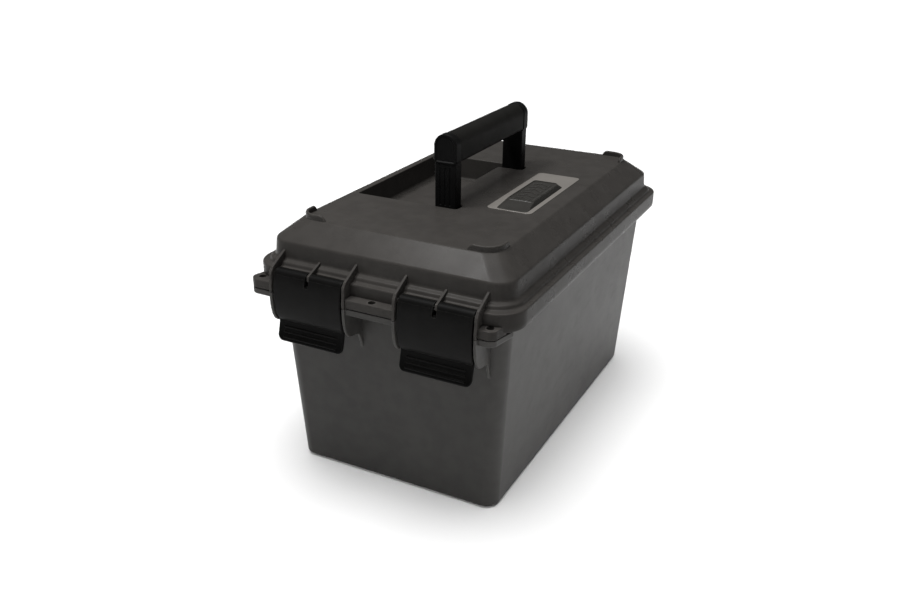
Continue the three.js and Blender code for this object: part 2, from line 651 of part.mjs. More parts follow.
// ---- assembly ----
addNode('tub', makeTub(), shellMaterial());
addNode('lid', makeLid(), shellMaterial());
addNode('lid_seal', makeSeal(), rubberMaterial());

for (const [name, side] of SIDES) {
  const latchX = side * LATCH_CENTRE_X;
  const [pinX0, pinX1] = [latchX - LATCH_PIN_HALF, latchX + LATCH_PIN_HALF];
  const latchPin = rodX(pinX0, pinX1, LATCH_PIN_Y, LATCH_PIN_Z, LATCH_PIN_RADIUS);
  const hingeX = side * HINGE_CENTRE_X;
  const hingeHalf = LID_KNUCKLE / 2 + TUB_KNUCKLE;
  const hingePin = rodX(hingeX - hingeHalf, hingeX + hingeHalf, HINGE_Y, HINGE_Z, HINGE_PIN_RADIUS);
  addNode(`latch_${name}`, makeLatch(side), blackMaterial());
  addNode(`latch_pin_${name}`, latchPin, steelMaterial());
  addNode(`hinge_pin_${name}`, hingePin, steelMaterial());
}

for (const [name, end] of ENDS) {
  const y = end * (POST_OUTER_Y + POST_INNER_Y) / 2;
  addNode(`handle_post_${name}`, makePost(end), blackMaterial());
  const pin = rodY(PIVOT_X, y - HANDLE_PIN_HALF, y + HANDLE_PIN_HALF, PIVOT_Z, HANDLE_PIN_RADIUS);
  addNode(`handle_pin_${name}`, pin, steelMaterial());
}
addNode('handle_grip', makeGrip(), gripMaterial());
addNode('handle_core_bar', rodY(PIVOT_X, -CORE_END_Y, CORE_END_Y, CORE_Z, CORE_RADIUS), steelMaterial());

export default group;
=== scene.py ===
"""Looks of a latched storage box, built round its CAD frame: rounded mouldings, moulded-plastic finishes,
a pale studio floor, soft overhead light and lamps that reach chosen pieces only. Shapes are written in
millimetres and made in metres."""

import json
import math

import bmesh
import bpy
from mathutils import Matrix, Vector


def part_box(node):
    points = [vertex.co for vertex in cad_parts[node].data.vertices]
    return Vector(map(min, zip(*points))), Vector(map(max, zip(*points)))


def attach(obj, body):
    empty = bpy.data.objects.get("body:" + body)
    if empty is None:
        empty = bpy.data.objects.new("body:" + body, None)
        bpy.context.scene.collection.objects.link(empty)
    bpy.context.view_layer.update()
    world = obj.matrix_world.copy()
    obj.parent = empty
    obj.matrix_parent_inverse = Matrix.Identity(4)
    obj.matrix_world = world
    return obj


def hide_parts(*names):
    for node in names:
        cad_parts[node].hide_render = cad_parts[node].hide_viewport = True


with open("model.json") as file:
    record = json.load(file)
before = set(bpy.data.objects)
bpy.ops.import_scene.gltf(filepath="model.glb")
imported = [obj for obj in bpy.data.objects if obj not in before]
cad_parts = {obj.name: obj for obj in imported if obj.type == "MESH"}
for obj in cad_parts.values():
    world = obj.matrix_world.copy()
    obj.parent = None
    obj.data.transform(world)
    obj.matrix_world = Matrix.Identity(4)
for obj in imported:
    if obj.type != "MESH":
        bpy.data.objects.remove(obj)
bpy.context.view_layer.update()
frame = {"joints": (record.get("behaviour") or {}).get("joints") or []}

MM = 0.001
SIDES = (("left", -1), ("right", 1))
ENDS = (("front", -1), ("rear", 1))


def box_mm(node):
    """Lowest and highest corner of a CAD node, in millimetres."""
    low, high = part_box(node)
    return low / MM, high / MM


def joint_mm(name):
    """Where a joint of the record lies, in millimetres."""
    joint = next(j for j in frame["joints"] if j["name"] == name)
    return Vector(joint["pos_m"]) / MM


TUB_LOW, TUB_HIGH = box_mm("tub")
LID_LOW, LID_HIGH = box_mm("lid")
SEAL_LOW, SEAL_HIGH = box_mm("lid_seal")
LATCH_LOW, LATCH_HIGH = box_mm("latch_right")
POST_LOW, POST_HIGH = box_mm("handle_post_rear")
GRIP_LOW, GRIP_HIGH = box_mm("handle_grip")
LATCH_PIN = joint_mm("latch_right_hinge")
HINGE = joint_mm("lid_hinge")
PIVOT = joint_mm("handle_fold")

# ---- sizes, in millimetres ----
GAP = 0.3
PIVOT_DEPTH = 9.2                    # of the handle's axis below the top of the lid
PLATE_Z = PIVOT.z + PIVOT_DEPTH      # top of the lid
RIDGE_TOP_Z = LID_HIGH.z
FRONT_Y = TUB_LOW.y                  # front edges of the cheeks and ribs
HINGE_CENTRE_X = 55.0
KNUCKLE_RADIUS = -FRONT_Y - HINGE.y
LID_KNUCKLE = 17.0
TUB_KNUCKLE = 11.0
HINGE_PIN_RADIUS = 1.9
HINGE_BORE_HALF = 40.0

FOOT_HEIGHT = 2.0
FOOT_SIZE = 24.0
FOOT_INSET = 2.4
TUB_WALL = 3.0
TUB_FLOOR = 3.5
FLANGE_BOTTOM_Z = 161.0
FLANGE_TOP_Z = 163.7
TONGUE_TOP_Z = TUB_HIGH.z
TUB_SHELF = (154.0, 158.6)           # heights of the ledge and ears on the tub
LID_SHELF = (159.0, 166.0)           # and of those on the lid
SHELF_FRONT_Y = -180.0
SHELF_HOLE_Y = -175.2
HOLE_RADIUS = 3.0
EARS = ((-98.5, -171.6, 7.5), (92.0, -173.2, 6.0))    # x, y and radius of each
CATCH_FRONT_Y = -172.4
CATCH_BOTTOM_Z = 158.0
CHEEK_FOOT_Z = 116.5

SKIRT_BOTTOM_Z = 160.9
SKIRT_GAP = 0.5
LID_BOTTOM_Z = 164.0
BAND_TOP_Z = 175.4
WALL_LOW_Z = 180.0
WALL_HIGH_Z = 192.7
LID_WALL = 3.2
CHANNEL_TOP_Z = SEAL_HIGH.z + GAP
RECESS_Y = -168.6
RECESS_SIDE_GAP = 1.4

RIDGE_WIDTH = 2.4
RIDGE_ROOT = 2.2
RIDGE_ON_END = 22.6                  # how far a stacking ridge runs from the lid corner, along the end
RIDGE_ON_SIDE = 20.0                 # and along the side
RIDGE_RISE = 4.5                     # length of the slope at the ridge's start
RIDGE_FALL = 2.5                     # and at its end

LATCH_CENTRE_X = LATCH_PIN.x
LATCH_HALF = (LATCH_HIGH.x - LATCH_LOW.x) / 2
BARREL_RADIUS = 5.0
LATCH_PIN_HALF = 31.9
LATCH_PIN_RADIUS = 1.7
NOTCH_HALF_WIDTH = 1.7               # of the slot in the latch barrel that clears the middle rib
NOTCH_BELOW = 4.5
NOTCH_ABOVE = 9.0
TOE_Y = -177.6
TOE_Z = 136.5
TAB_BOTTOM_Z = LATCH_LOW.z
TAB_ROOT_Y = TOE_Y + 1.2
TAB_ROOT_Z = TOE_Z + 3.5
TAB_LEAN = 4.8
TAB_INSET = 0.2
TAB_RIDGE_INSET = 5.6
RIB_X = (20.8, 84.6)
RIB_THICKNESS = 2.2
RIB_TOP_Z = 187.4
MIDDLE_RIB_TOP_Z = 183.0
MIDDLE_RIB_HALF = 1.0

POCKET = ((-77.3, -69.6), (13.2, -69.6), (13.2, -57.4), (-9.8, -57.4),
          (-9.8, 57.4), (13.2, 57.4), (13.2, 69.6), (-77.3, 69.6))
POCKET_RADIUS = 3.0
POCKET_FLOOR_Z = 186.4
HANDLE_PIN_RADIUS = 2.5
HANDLE_BORE_HALF = 9.2
POST_HALF_WIDTH = 9.2
POST_OUTER_Y = 68.3
POST_INNER_Y = 58.6
POST_MIDDLE_Y = (POST_OUTER_Y + POST_INNER_Y) / 2
HEAD_HALF_WIDTH = (POST_HIGH.x - POST_LOW.x) / 2
HEAD_BOTTOM_Z = GRIP_LOW.z - 0.4
HEAD_INNER_Y = GRIP_HIGH.y + GAP
HEAD_OUTER_Y = POST_HIGH.y
HANDLE_TOP_Z = POST_HIGH.z
FLUTE_PITCH = 4.2
FLUTE_HALF_WIDTH = 1.1
CORE_RADIUS = 4.0
CORE_Z = (HEAD_BOTTOM_Z + HANDLE_TOP_Z) / 2 + 1

PANEL_X = (31, 69)
PANEL_Y = (-54.5, 56)
BADGE_X = (38.8, 64.9)
BADGE_Y = (-53, 25)
BADGE_TOP_X = (40.3, 63.3)
BADGE_TOP_Y = (-37.5, 20.5)
BADGE_TOP_Z = 4.2


# ---- outlines ----
def plan(hx, hy, r):
    """Half width, half length and corner radius of a rounded rectangle."""
    return Vector((hx, hy, r))


def grown(base, by):
    return base + Vector((by, by, by))


TUB_BASE = plan(88, 150.2, 11)
TUB_TOP = plan(97.5, 159.5, 14)
FLANGE = plan(106.2, 168.5, 19.4)
TONGUE_OUTER = plan(104, 163.6, 18)
TONGUE_INNER = plan(101.2, 160.8, 15.2)
BAND = plan(109, 171.5, 22)
WALL_LOW = plan(100.2, 162, 16)
WALL_HIGH = plan(99.4, 161.1, 16)
PLATE = plan(82.8, 144.3, 14)
LIP_INNER = plan(97, 156.2, 13)
CHANNEL_INNER = plan(99.6, 159, 14)
CHANNEL_OUTER = plan(105.6, 165.2, 19)


def rounded(corners, radius, grow=0.0, steps=5):
    """Points round a closed outline with round corners, its sides moved outwards by grow.
    The corners run anticlockwise; radius is one number or one for each corner."""
    points = [Vector(c) for c in corners]
    radii = radius if isinstance(radius, (list, tuple)) else [radius] * len(points)
    ring = []
    for i, corner in enumerate(points):
        into = (corner - points[i - 1]).normalized()
        out = (points[(i + 1) % len(points)] - corner).normalized()
        turn = math.atan2(into.x * out.y - into.y * out.x, into.dot(out))
        normal_in = Vector((into.y, -into.x))
        normal_out = Vector((out.y, -out.x))
        tip = corner + (normal_in + normal_out) * grow / (1 + normal_in.dot(normal_out))
        side = 1 if turn > 0 else -1
        r = max(radii[i] + side * grow, 0.05)
        start = tip - into * r * math.tan(abs(turn) / 2)
        centre = start - normal_in * r * side
        arm = start - centre
        for k in range(steps + 1):
            angle = turn * k / steps
            ring.append(centre + Matrix.Rotation(angle, 2) @ arm)
    return ring


def rectangle(hx, hy):
    return [(hx, -hy), (hx, hy), (-hx, hy), (-hx, -hy)]


def square(centre_u, centre_v, half):
    return [(centre_u + u, centre_v + v) for u, v in rectangle(half, half)]


def tray(x, y):
    """Rectangle between two pairs of limits."""
    return [(x[0], y[0]), (x[1], y[0]), (x[1], y[1]), (x[0], y[1])]


def soften(levels, reach, steps=4):
    """Round the corners of a path of levels (height, half width, half length, radius)."""
    levels = [Vector(level) for level in levels]
    path = [levels[0]]
    for before, corner, after in zip(levels, levels[1:], levels[2:]):
        back, ahead = before - corner, after - corner
        behind, beyond = back.to_3d().length, ahead.to_3d().length
        near = min(reach, behind / 2.05, beyond / 2.05)
        a, b = corner + back * (near / behind), corner + ahead * (near / beyond)
        for k in range(steps + 1):
            t = k / steps
            path.append(a.lerp(corner, t).lerp(corner.lerp(b, t), t))
    path.append(levels[-1])
    return path


# ---- solids ----
def mesh_object(vertices, faces):
    """Closed mesh with its faces turned outwards, named and painted later by finished()."""
    mesh = bpy.data.meshes.new("part")
    mesh.from_pydata([Vector(v) * MM for v in vertices], [], faces)
    shape = bmesh.new()
    shape.from_mesh(mesh)
    bmesh.ops.recalc_face_normals(shape, faces=shape.faces)
    shape.to_mesh(mesh)
    shape.free()
    piece = bpy.data.objects.new("part", mesh)
    bpy.context.scene.collection.objects.link(piece)
    return piece


def skin(rings, closed=False):
    """Closed body through rings of equal count: capped at both ends, or joined end to end."""
    count = len(rings[0])
    vertices = [point for ring in rings for point in ring]
    faces = []
    spans = len(rings) if closed else len(rings) - 1
    for level in range(spans):
        a, b = level * count, (level + 1) % len(rings) * count
        for i in range(count):
            j = (i + 1) % count
            faces.append((a + i, a + j, b + j, b + i))
    if not closed:
        faces.append(tuple(range(count)))
        faces.append(tuple(range(len(vertices) - count, len(vertices))))
    return mesh_object(vertices, faces)


def level_ring(level):
    z, hx, hy, r = level
    return [(p.x, p.y, z) for p in rounded(rectangle(hx, hy), r, 0, 10)]


def loft(levels):
    """Body through a path of rounded rectangles, which may double back to form walls."""
    return skin([level_ring(level) for level in levels])


def at(z, base, by=0.0):
    """One level of a loft."""
    return (z, *grown(base, by))


def edge_levels(low, high, edge):
    """Stations through a slab whose two edges are rounded: (level, outward growth)."""
    steps = 4
    turns = [math.pi / 2 * k / steps for k in range(steps + 1)]
    lower = [(low + edge * (1 - math.cos(t)), -edge * (1 - math.sin(t))) for t in turns]
    upper = [(high - (level - low), growth) for level, growth in reversed(lower)]
    return lower + upper


def along_x(u, v, level):
    return (level, u, v)


def along_y(u, v, level):
    return (u, level, v)


def along_z(u, v, level):
    return (u, v, level)


def slab(corners, radius, low, high, edge, place, steps=5):
    """Plate of an outline between two levels, with round corners and rounded edges."""
    rings = []
    for level, growth in edge_levels(low, high, edge):
        rings.append([place(p.x, p.y, level) for p in rounded(corners, radius, growth, steps)])
    return skin(rings)


def cuboid(x0, x1, y0, y1, z0, z1, radius=0.8, edge=0.5):
    """Block with rounded upright corners and rounded upper and lower edges."""
    return slab(tray((x0, x1), (y0, y1)), radius, z0, z1, edge, along_z, 4)


def rod(centre_u, centre_v, low, high, radius, place, edge=0.4, steps=12):
    """Round bar with rounded ends."""
    return slab(square(centre_u, centre_v, radius), radius, low, high, edge, place, steps)


def bore(centre_u, centre_v, low, high, radius, place):
    """Cutter for a round hole."""
    circle = rounded(square(centre_u, centre_v, radius), radius, 0, 12)
    return skin([[place(p.x, p.y, level) for p in circle] for level in (low, high)])


def combine(base, others, operation):
    """Join the others to the base, or cut them from it, into one closed mesh."""
    for other in others:
        step = base.modifiers.new("combine", "BOOLEAN")
        step.object = other
        step.operation = operation
        step.solver = "MANIFOLD"
    graph = bpy.context.evaluated_depsgraph_get()
    mesh = bpy.data.meshes.new_from_object(base.evaluated_get(graph))
    base.modifiers.clear()
    base.data = mesh
    for other in others:
        bpy.data.objects.remove(other)
    return base


def join(base, others):
    return combine(base, others, "UNION")


def cut(base, others):
    return combine(base, others, "DIFFERENCE")


def finished(piece, name, body, material, nodes=()):
    """Name, shade, paint and place a piece, and hide the CAD parts it stands for."""
    piece.name = name
    piece.data.name = name
    for polygon in piece.data.polygons:
        polygon.use_smooth = True
    piece.data.set_sharp_from_angle(angle=math.radians(38))
    shading = piece.modifiers.new("even shading", "WEIGHTED_NORMAL")
    shading.mode = "FACE_AREA"
    shading.keep_sharp = True
    piece.data.materials.clear()
    piece.data.materials.append(material)
    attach(piece, body)
    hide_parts(*nodes)
    return piece


# ---- materials ----
class Nodes:
    """Short hand for building one material's node tree."""

    def __init__(self, name):
        self.material = bpy.data.materials.new(name)
        self.material.use_nodes = True
        self.tree = self.material.node_tree
        self.shader = self.tree.nodes["Principled BSDF"]
        self.place = self.tree.nodes.new("ShaderNodeTexCoord").outputs["Object"]

    def link(self, source, target):
        self.tree.links.new(source, target)

    def noise(self, scale, detail=2.0, stretch=(1, 1, 1)):
        """Noise over the object, scale in cycles per metre."""
        mapping = self.tree.nodes.new("ShaderNodeMapping")
        mapping.inputs["Scale"].default_value = stretch
        self.link(self.place, mapping.inputs["Vector"])
        texture = self.tree.nodes.new("ShaderNodeTexNoise")
        texture.inputs["Scale"].default_value = scale
        texture.inputs["Detail"].default_value = detail
        self.link(mapping.outputs["Vector"], texture.inputs["Vector"])
        return texture.outputs["Fac"]

    def ramp(self, source, low, high, to_low=0.0, to_high=1.0):
        """Map low..high of a value to to_low..to_high."""
        node = self.tree.nodes.new("ShaderNodeMapRange")
        node.interpolation_type = "SMOOTHSTEP"
        for socket, value in (("From Min", low), ("From Max", high), ("To Min", to_low), ("To Max", to_high)):
            node.inputs[socket].default_value = value
        self.link(source, node.inputs["Value"])
        return node.outputs["Result"]

    def math(self, operation, a, b):
        node = self.tree.nodes.new("ShaderNodeMath")
        node.operation = operation
        for socket, value in zip(node.inputs, (a, b)):
            if isinstance(value, (int, float)):
                socket.default_value = value
            else:
                self.link(value, socket)
        return node.outputs["Value"]

    def mix(self, factor, a, b):
        """Mix of two colours, each a tuple or a socket."""
        node = self.tree.nodes.new("ShaderNodeMix")
        node.data_type = "RGBA"
        self.link(factor, node.inputs["Factor"])
        for socket, value in ((node.inputs[6], a), (node.inputs[7], b)):
            if isinstance(value, tuple):
                socket.default_value = (*value, 1)
            else:
                self.link(value, socket)
        return node.outputs[2]

    def edge_wear_and_highlight(self):
        """Mask of the lighter edge colour, partly wear and partly painted highlight: patchy along sharp
        convex edges, from 0.35 to 1, and 0 elsewhere.
        """
        geometry = self.tree.nodes.new("ShaderNodeNewGeometry")
        bevel = self.tree.nodes.new("ShaderNodeBevel")
        bevel.samples = 6
        bevel.inputs["Radius"].default_value = 0.9 * MM
        turn = self.tree.nodes.new("ShaderNodeVectorMath")
        turn.operation = "DISTANCE"
        self.link(bevel.outputs["Normal"], turn.inputs[0])
        self.link(geometry.outputs["Normal"], turn.inputs[1])
        convex = self.ramp(geometry.outputs["Pointiness"], 0.50, 0.54)
        edge = self.math("MULTIPLY", self.ramp(turn.outputs["Value"], 0.06, 0.30), convex)
        return self.math("MULTIPLY", edge, self.ramp(self.noise(260, 3), 0.35, 0.65, 0.35, 1.0))

    def bump(self, height, strength, distance):
        node = self.tree.nodes.new("ShaderNodeBump")
        node.inputs["Strength"].default_value = strength
        node.inputs["Distance"].default_value = distance
        self.link(height, node.inputs["Height"])
        self.link(node.outputs["Normal"], self.shader.inputs["Normal"])


def moulded_plastic(name, dark, light, wear_and_highlight_colour, rough, grain, grain_depth, specular):
    """Moulded plastic: fine spark-eroded grain, slow colour drift, scuffs, edges rubbed smooth, and a lighter
    colour along sharp convex edges that is partly wear and partly painted highlight.
    """
    nodes = Nodes(name)
    drift = nodes.ramp(nodes.noise(9, 3), 0.35, 0.65)
    mottle = nodes.ramp(nodes.noise(95, 4), 0.3, 0.7)
    both = nodes.math("ADD", nodes.math("MULTIPLY", drift, 0.4), nodes.math("MULTIPLY", mottle, 0.6))
    edge = nodes.edge_wear_and_highlight()
    # Lighter colour along sharp convex edges: rubbed wear, and a painted highlight (strongest on the lid).
    colour = nodes.mix(edge, nodes.mix(both, dark, light), wear_and_highlight_colour)
    nodes.link(colour, nodes.shader.inputs["Base Color"])
    scuffs = nodes.ramp(nodes.noise(60, 5, (1, 1, 2.5)), 0.5, 0.72)
    rough_drift = nodes.ramp(nodes.noise(45, 3), 0.3, 0.7, rough - 0.015, rough + 0.015)
    rough_now = nodes.math("ADD", rough_drift, nodes.math("MULTIPLY", scuffs, 0.03))
    rubbed = nodes.math("SUBTRACT", rough_now, nodes.math("MULTIPLY", edge, 0.08))
    nodes.link(rubbed, nodes.shader.inputs["Roughness"])
    nodes.shader.inputs["Specular IOR Level"].default_value = specular
    nodes.bump(nodes.noise(grain, 2), 0.35, grain_depth)
    return nodes.material


def brushed_steel(name):
    nodes = Nodes(name)
    lines = nodes.ramp(nodes.noise(900, 2, (0.04, 1, 1)), 0.3, 0.7)
    colour = nodes.mix(lines, (0.42, 0.42, 0.41), (0.62, 0.62, 0.60))
    nodes.link(colour, nodes.shader.inputs["Base Color"])
    nodes.link(nodes.ramp(lines, 0, 1, 0.28, 0.42), nodes.shader.inputs["Roughness"])
    nodes.shader.inputs["Metallic"].default_value = 1
    nodes.bump(lines, 0.2, 0.00005)
    return nodes.material


def seal_rubber(name):
    nodes = Nodes(name)
    dust = nodes.ramp(nodes.noise(160, 5), 0.5, 0.75)
    colour = nodes.mix(dust, (0.010, 0.010, 0.010), (0.028, 0.027, 0.026))
    nodes.link(colour, nodes.shader.inputs["Base Color"])
    nodes.link(nodes.ramp(dust, 0, 1, 0.72, 0.88), nodes.shader.inputs["Roughness"])
    nodes.bump(nodes.noise(2600, 2), 0.3, 0.00005)
    return nodes.material


TUB_PLASTIC = moulded_plastic(
    "tub plastic", dark=(0.034, 0.0325, 0.031), light=(0.043, 0.0415, 0.039), wear_and_highlight_colour=(0.085, 0.082, 0.078),
    rough=0.40, grain=2400, grain_depth=0.00010, specular=0.15)
# The lid's light edge colour is a painted highlight along its sharp edges, as well as wear.
LID_PLASTIC = moulded_plastic(
    "lid plastic", dark=(0.0290, 0.0270, 0.0252), light=(0.0362, 0.0338, 0.0315), wear_and_highlight_colour=(0.090, 0.084, 0.079),
    rough=0.28, grain=2400, grain_depth=0.00008, specular=0.045)
# Lighter than the lid: partly the panel's own tone, partly a painted reflection standing in for its gloss.
PANEL_TONE_AND_SHEEN = moulded_plastic(
    "panel plastic and painted reflection", dark=(0.125, 0.117, 0.108), light=(0.140, 0.131, 0.121), wear_and_highlight_colour=(0.16, 0.15, 0.14),
    rough=0.30, grain=3600, grain_depth=0.00004, specular=0.2)
BADGE_PLASTIC = moulded_plastic(
    "badge plastic", dark=(0.018, 0.017, 0.0155), light=(0.024, 0.023, 0.021), wear_and_highlight_colour=(0.06, 0.058, 0.054),
    rough=0.34, grain=3600, grain_depth=0.00004, specular=0.2)
LATCH_PLASTIC = moulded_plastic(
    "latch plastic", dark=(0.0040, 0.0039, 0.0037), light=(0.0062, 0.0060, 0.0058),
    wear_and_highlight_colour=(0.018, 0.018, 0.017), rough=0.40, grain=2000, grain_depth=0.00008, specular=0.06)
TAB_PLASTIC = moulded_plastic(
    "tab plastic", dark=(0.0020, 0.0020, 0.0019), light=(0.0032, 0.0032, 0.0030), wear_and_highlight_colour=(0.010, 0.010, 0.009),
    rough=0.30, grain=2000, grain_depth=0.00006, specular=0.05)
POST_PLASTIC = moulded_plastic(
    "post plastic", dark=(0.0040, 0.0040, 0.0040), light=(0.0060, 0.0060, 0.0060), wear_and_highlight_colour=(0.010, 0.010, 0.010),
    rough=0.36, grain=2000, grain_depth=0.00008, specular=0.03)
GRIP_PLASTIC = moulded_plastic(
    "grip plastic", dark=(0.0070, 0.0068, 0.0063), light=(0.0095, 0.0092, 0.0086), wear_and_highlight_colour=(0.016, 0.016, 0.015),
    rough=0.55, grain=1500, grain_depth=0.00012, specular=0.04)
RUBBER = seal_rubber("seal rubber")
STEEL = brushed_steel("drawn steel")


# ---- tub ----
def tub_plan(z):
    return TUB_BASE.lerp(TUB_TOP, (z - FOOT_HEIGHT) / (FLANGE_BOTTOM_Z - FOOT_HEIGHT))


def tub_shell():
    floor_z = FOOT_HEIGHT + TUB_FLOOR
    outside = soften([
        at(FOOT_HEIGHT, TUB_BASE, -6),
        at(FOOT_HEIGHT, TUB_BASE),
        at(FLANGE_BOTTOM_Z, TUB_TOP),
        at(FLANGE_BOTTOM_Z, FLANGE),
        at(FLANGE_TOP_Z, FLANGE),
        at(FLANGE_TOP_Z, TONGUE_OUTER),
        at(TONGUE_TOP_Z, TONGUE_OUTER),
        at(TONGUE_TOP_Z, TONGUE_INNER),
        at(FLANGE_TOP_Z, TONGUE_INNER),
        at(FLANGE_TOP_Z, TUB_TOP, -TUB_WALL),
    ], 1.1)
    inside = soften([
        at(FLANGE_TOP_Z, TUB_TOP, -TUB_WALL),
        at(floor_z, tub_plan(floor_z), -TUB_WALL),
        at(floor_z, tub_plan(floor_z), -TUB_WALL - 8),
    ], 3.0)
    return loft(outside + inside[1:])


def feet():
    """Square pads under the corners of the tub, round at its outer corners."""
    outer = grown(TUB_BASE, -FOOT_INSET)
    pads = []
    for sx, sy in ((1, 1), (-1, 1), (-1, -1), (1, -1)):
        x = sorted((sx * outer.x, sx * (outer.x - FOOT_SIZE)))
        y = sorted((sy * outer.y, sy * (outer.y - FOOT_SIZE)))
        radii = [outer.z if corner == (sx, sy) else 2.0 for corner in tray((-1, 1), (-1, 1))]
        pads.append(slab(tray(x, y), radii, 0.0, FOOT_HEIGHT + 1.5, 0.6, along_z))
    return pads


def bezier(points, steps):
    """Points along one cubic curve, both ends included."""
    a, b, c, d = (Vector(p) for p in points)
    curve = []
    for k in range(steps + 1):
        t = k / steps
        ab, bc, cd = a.lerp(b, t), b.lerp(c, t), c.lerp(d, t)
        curve.append(ab.lerp(bc, t).lerp(bc.lerp(cd, t), t))
    return curve


def cheek_outline():
    root_y = -TUB_TOP.y + 2.5
    top = TUB_SHELF[1]
    toe = bezier([(FRONT_Y, top - 4), (FRONT_Y, 145), (-179.5, 134.6), (-172.5, 133.6)], 8)
    notch = bezier([(-165, 132.4), (-163, 132.4), (-161.8, 131), (-160.5, 127.4)], 4)
    return [(root_y, top), (FRONT_Y, top), *toe, *notch, (root_y, CHEEK_FOOT_Z)]


def cheeks():
    outline = cheek_outline()
    radii = [0.3, 0.6] + [2.0] * (len(outline) - 3) + [0.5]
    half = RIB_THICKNESS / 2
    return [
        slab(outline, 0.4, side * x - half, side * x + half, 0.5, along_x, 2)
        for _, side in SIDES for x in RIB_X
    ]


def catches():
    """Ledges between the cheeks, in front of which the latch hooks end."""
    half = (RIB_X[1] - RIB_X[0] - RIB_THICKNESS) / 2 - 2 * GAP
    back_y = -TUB_TOP.y + 2
    blocks = []
    for _, side in SIDES:
        x = side * LATCH_CENTRE_X
        blocks.append(cuboid(x - half, x + half, CATCH_FRONT_Y, back_y, CATCH_BOTTOM_Z, FLANGE_TOP_Z))
    return blocks


def shelf(heights, back_y):
    return cuboid(-RIB_X[0], RIB_X[0], SHELF_FRONT_Y, back_y, *heights, 0.6, 0.7)


def ear(place, heights):
    """Round padlock ear, with a web that runs back to the wall."""
    x, y, radius = place
    side = math.copysign(1, x)
    low, high = heights
    head = rod(x, y, low, high, radius, along_z, 0.8)
    outline = [
        (side * RIB_X[1], y - radius),
        (x, y - radius),
        (x + side * radius, y),
        (side * (TUB_TOP.x + 4), -TUB_TOP.y + 4),
        (side * (TUB_TOP.x - 1), -TUB_TOP.y + 12),
        (side * (TUB_TOP.x - 8), -TUB_TOP.y + 5),
        (side * RIB_X[1], -TUB_TOP.y + 2),
    ]
    if side < 0:
        outline.reverse()
    return join(head, [slab(outline, 0.8, low, high, 0.8, along_z, 3)])


def front_holes():
    holes = [bore(0, SHELF_HOLE_Y, TUB_SHELF[0] - 1, LID_SHELF[1] + 1, HOLE_RADIUS, along_z)]
    for x, y, _ in EARS:
        holes.append(bore(x, y, TUB_SHELF[0] - 1, LID_SHELF[1] + 1, HOLE_RADIUS, along_z))
    return holes


def knuckle(x0, x1):
    return rod(HINGE.y, HINGE.z, x0, x1, KNUCKLE_RADIUS, along_x, 0.5)


def hinge_bores():
    bores = []
    for _, side in SIDES:
        x = side * HINGE_CENTRE_X
        low, high = x - HINGE_BORE_HALF, x + HINGE_BORE_HALF
        bores.append(bore(HINGE.y, HINGE.z, low, high, HINGE_PIN_RADIUS + GAP, along_x))
    return bores


def tub_hinges():
    top = SKIRT_BOTTOM_Z - 2 * GAP
    arm = [(TUB_TOP.y - 3, top), (TUB_TOP.y - 3, 140), (HINGE.y, HINGE.z - KNUCKLE_RADIUS), (HINGE.y, top)]
    parts = []
    for _, side in SIDES:
        for end in (-1, 1):
            near = side * HINGE_CENTRE_X + end * (LID_KNUCKLE / 2 + GAP * 2)
            x0, x1 = sorted((near, near + end * TUB_KNUCKLE))
            parts += [slab(arm, 0.5, x0, x1, 0.5, along_x, 3), knuckle(x0, x1)]
    return parts


def make_tub():
    features = [*feet(), *cheeks(), *catches(), shelf(TUB_SHELF, -TUB_TOP.y + 2), *tub_hinges()]
    features += [ear(place, TUB_SHELF) for place in EARS]
    tub = join(tub_shell(), features)
    cut(tub, [*front_holes(), *hinge_bores()])
    finished(tub, "tub_moulding", "tub", TUB_PLASTIC, ["tub"])


# ---- lid ----
def lid_shell():
    """Plate, bevel, wall, stepped band and skirt, then the seal channel and the hollow underside."""
    outside = soften([
        at(PLATE_Z, PLATE, -8),
        at(PLATE_Z, PLATE),
        at(WALL_HIGH_Z, WALL_HIGH),
        at(WALL_LOW_Z, WALL_LOW),
        at(WALL_LOW_Z - 1.6, WALL_LOW, 3.9),
        at(BAND_TOP_Z + 0.3, WALL_LOW, 4.7),
        at(BAND_TOP_Z, BAND),
        at(LID_BOTTOM_Z, BAND),
        at(SKIRT_BOTTOM_Z, BAND, -0.8),
        at(SKIRT_BOTTOM_Z, FLANGE, SKIRT_GAP),
        at(LID_BOTTOM_Z, FLANGE, SKIRT_GAP),
    ], 1.7)
    inside = soften([
        at(LID_BOTTOM_Z, FLANGE, SKIRT_GAP),
        at(LID_BOTTOM_Z, CHANNEL_OUTER),
        at(CHANNEL_TOP_Z, CHANNEL_OUTER),
        at(CHANNEL_TOP_Z, CHANNEL_INNER),
        at(LID_BOTTOM_Z, CHANNEL_INNER),
        at(LID_BOTTOM_Z, LIP_INNER),
        at(BAND_TOP_Z, LIP_INNER),
        at(BAND_TOP_Z + 2, WALL_LOW, -LID_WALL),
        at(WALL_HIGH_Z - 1, WALL_HIGH, -LID_WALL),
        at(PLATE_Z - LID_WALL, PLATE, -1.5),
        at(PLATE_Z - LID_WALL, PLATE, -10),
    ], 0.8)
    return loft(outside + inside[1:])


def pocket_walls():
    low, high = POCKET_FLOOR_Z - LID_WALL, PLATE_Z - 1
    rings = []
    for level, growth in ((low, LID_WALL - 1), (low + 1, LID_WALL), (high, LID_WALL)):
        rings.append([(p.x, p.y, level) for p in rounded(POCKET, POCKET_RADIUS, growth)])
    return skin(rings)


